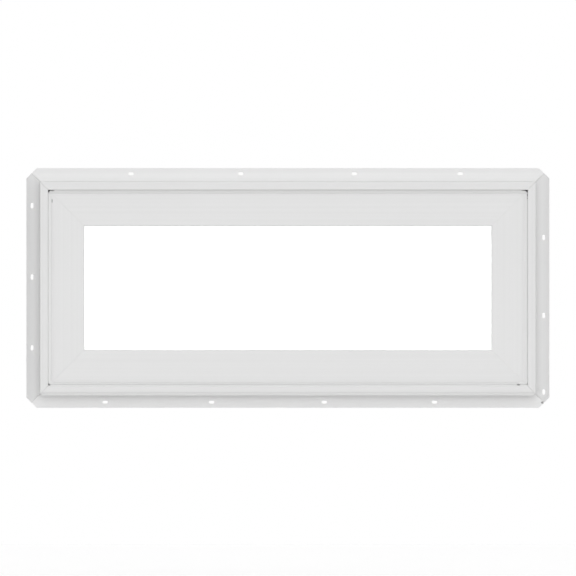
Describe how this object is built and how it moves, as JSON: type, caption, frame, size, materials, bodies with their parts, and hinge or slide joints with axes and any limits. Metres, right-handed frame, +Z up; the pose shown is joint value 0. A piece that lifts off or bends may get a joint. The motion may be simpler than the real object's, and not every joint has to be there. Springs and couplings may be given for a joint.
{
  "type": "awning window",
  "caption": "White vinyl awning window with a slotted nail fin, a closed top-hung sash with double glass, and a folded crank indoors.",
  "frame": {"origin": "on the nail fin's back face, in the middle of the strip of fin below the sill", "axes": "+X to the right as seen from outdoors, +Y from outdoors to indoors, +Z up"},
  "size_m": [0.9524, 0.0825, 0.4368],
  "materials": {
    "frame_vinyl": "extruded white vinyl, satin",
    "sash_vinyl": "extruded white vinyl, satin",
    "bead_vinyl": "extruded white vinyl, satin",
    "seal_rubber": "grey bulb seal",
    "window_glass": "clear float glass",
    "spacer_metal": "mill finish spacer",
    "edge_sealant": "sealant between the panes",
    "glazing_tape": "white foam tape",
    "setting_block": "hard rubber",
    "hinge_steel": "stainless strip",
    "shoe_nylon": "moulded nylon",
    "gear_case_metal": "zinc die casting, painted",
    "operator_steel": "zinc plated steel",
    "sash_track_metal": "mill finish channel",
    "cover_plastic": "moulded white plastic",
    "handle_metal": "white painted die casting",
    "knob_plastic": "moulded white plastic",
    "lock_metal": "white painted die casting",
    "keeper_steel": "stainless strip"
  },
  "bodies": {
    "root": {"frame_head": "frame_vinyl", "frame_sill": "frame_vinyl", "frame_jamb_left": "frame_vinyl", "frame_jamb_right": "frame_vinyl", "sash_top_rail": "sash_vinyl", "sash_bottom_rail": "sash_vinyl", "sash_stile_left": "sash_vinyl", "sash_stile_right": "sash_vinyl", "glass_outer": "window_glass", "glass_inner": "window_glass", "glass_spacer": "spacer_metal", "edge_sealant": "edge_sealant", "glazing_tape": "glazing_tape", "setting_blocks": "setting_block", "operator_gear_case": "gear_case_metal", "operator_cover": "cover_plastic", "sash_track": "sash_track_metal", "crank_handle": "handle_metal", "crank_knob": "knob_plastic", "glazing_bead_head": "bead_vinyl", "bulb_seal_head": "seal_rubber", "glazing_bead_sill": "bead_vinyl", "bulb_seal_sill": "seal_rubber", "glazing_bead_left": "bead_vinyl", "bulb_seal_left": "seal_rubber", "glazing_bead_right": "bead_vinyl", "bulb_seal_right": "seal_rubber", "hinge_track_left": "hinge_steel", "hinge_shoe_left": "shoe_nylon", "hinge_sash_arm_left": "hinge_steel", "hinge_link_left": "hinge_steel", "operator_arm_left": "operator_steel", "lock_case_left": "lock_metal", "lock_lever_left": "lock_metal", "lock_keeper_left": "keeper_steel", "hinge_track_right": "hinge_steel", "hinge_shoe_right": "shoe_nylon", "hinge_sash_arm_right": "hinge_steel", "hinge_link_right": "hinge_steel", "operator_arm_right": "operator_steel", "lock_case_right": "lock_metal", "lock_lever_right": "lock_metal", "lock_keeper_right": "keeper_steel"}
  },
  "joints": []
}
